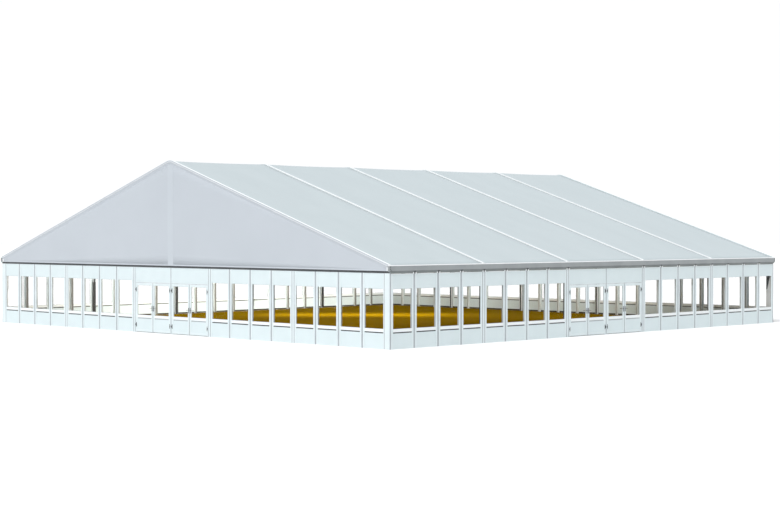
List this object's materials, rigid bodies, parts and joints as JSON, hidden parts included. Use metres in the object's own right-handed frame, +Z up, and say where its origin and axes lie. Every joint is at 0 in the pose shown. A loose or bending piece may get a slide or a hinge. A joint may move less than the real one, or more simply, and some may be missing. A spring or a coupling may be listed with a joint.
{
  "type": "ice rink tent",
  "caption": "Clear-span gable tent for an ice rink: aluminium portal frames, fabric roof, glazed panel walls and hinged double doors on two sides.",
  "frame": {"origin": "on the ground in the middle of the footprint", "axes": "+X across the span towards the long side with doors, +Y along the ridge away from the gable with doors, +Z up"},
  "size_m": [25.44, 25.12, 7.1027],
  "materials": {
    "frame_aluminium": "satin anodised",
    "fascia_aluminium": "mill finish",
    "wall_panel": "smooth white powder coat",
    "roof_fabric": "coated PVC fabric, slightly glossy",
    "window_glass": "clear",
    "floor_boards": "varnished boards",
    "dark_metal": "black, slightly worn"
  },
  "bodies": {
    "tent": {"portal_frame_1": "frame_aluminium", "portal_frame_2": "frame_aluminium", "portal_frame_3": "frame_aluminium", "portal_frame_4": "frame_aluminium", "portal_frame_5": "frame_aluminium", "portal_frame_6": "frame_aluminium", "front_upright_1": "frame_aluminium", "front_upright_2": "frame_aluminium", "front_upright_3": "frame_aluminium", "front_upright_4": "frame_aluminium", "back_upright_1": "frame_aluminium", "back_upright_2": "frame_aluminium", "back_upright_3": "frame_aluminium", "back_upright_4": "frame_aluminium", "ridge_purlin": "frame_aluminium", "right_purlin": "frame_aluminium", "left_purlin": "frame_aluminium", "front_gable_beam": "fascia_aluminium", "back_gable_beam": "fascia_aluminium", "right_eave_fascia": "fascia_aluminium", "left_eave_fascia": "fascia_aluminium", "roof_cover_1": "roof_fabric", "roof_cover_2": "roof_fabric", "roof_cover_3": "roof_fabric", "roof_cover_4": "roof_fabric", "roof_cover_5": "roof_fabric", "front_gable_fabric": "roof_fabric", "back_gable_fabric": "roof_fabric", "front_wall_a": "wall_panel", "front_wall_b": "wall_panel", "right_wall_a": "wall_panel", "right_wall_b": "wall_panel", "back_wall": "wall_panel", "left_wall": "wall_panel", "front_glass_a": "window_glass", "front_glass_b": "window_glass", "right_glass_a": "window_glass", "right_glass_b": "window_glass", "back_glass": "window_glass", "left_glass": "window_glass", "front_door_frame": "wall_panel", "right_door_frame": "wall_panel", "floor": "floor_boards"},
    "front_door_1": {"front_door_leaf_1": "wall_panel"},
    "front_door_2": {"front_door_leaf_2": "wall_panel"},
    "front_door_3": {"front_door_leaf_3": "wall_panel"},
    "front_door_4": {"front_door_leaf_4": "wall_panel"},
    "right_door_1": {"right_door_leaf_1": "wall_panel"},
    "right_door_2": {"right_door_leaf_2": "wall_panel"},
    "right_door_3": {"right_door_leaf_3": "wall_panel"},
    "right_door_4": {"right_door_leaf_4": "wall_panel"}
  },
  "joints": [
    {"name": "front_door_1_hinge", "type": "hinge", "parent": "tent", "child": "front_door_1", "pos_m": [-2.377, -12.514, 0], "axis": [0, 0, -1], "range_deg": [0, 90]},
    {"name": "front_door_2_hinge", "type": "hinge", "parent": "tent", "child": "front_door_2", "pos_m": [-0.053, -12.514, 0], "axis": [0, 0, 1], "range_deg": [0, 90]},
    {"name": "front_door_3_hinge", "type": "hinge", "parent": "tent", "child": "front_door_3", "pos_m": [0.053, -12.514, 0], "axis": [0, 0, -1], "range_deg": [0, 90]},
    {"name": "front_door_4_hinge", "type": "hinge", "parent": "tent", "child": "front_door_4", "pos_m": [2.377, -12.514, 0], "axis": [0, 0, 1], "range_deg": [0, 90]},
    {"name": "right_door_1_hinge", "type": "hinge", "parent": "tent", "child": "right_door_1", "pos_m": [12.684, -2.377, 0], "axis": [0, 0, -1], "range_deg": [0, 90]},
    {"name": "right_door_2_hinge", "type": "hinge", "parent": "tent", "child": "right_door_2", "pos_m": [12.684, -0.053, 0], "axis": [0, 0, 1], "range_deg": [0, 90]},
    {"name": "right_door_3_hinge", "type": "hinge", "parent": "tent", "child": "right_door_3", "pos_m": [12.684, 0.053, 0], "axis": [0, 0, -1], "range_deg": [0, 90]},
    {"name": "right_door_4_hinge", "type": "hinge", "parent": "tent", "child": "right_door_4", "pos_m": [12.684, 2.377, 0], "axis": [0, 0, 1], "range_deg": [0, 90]}
  ]
}
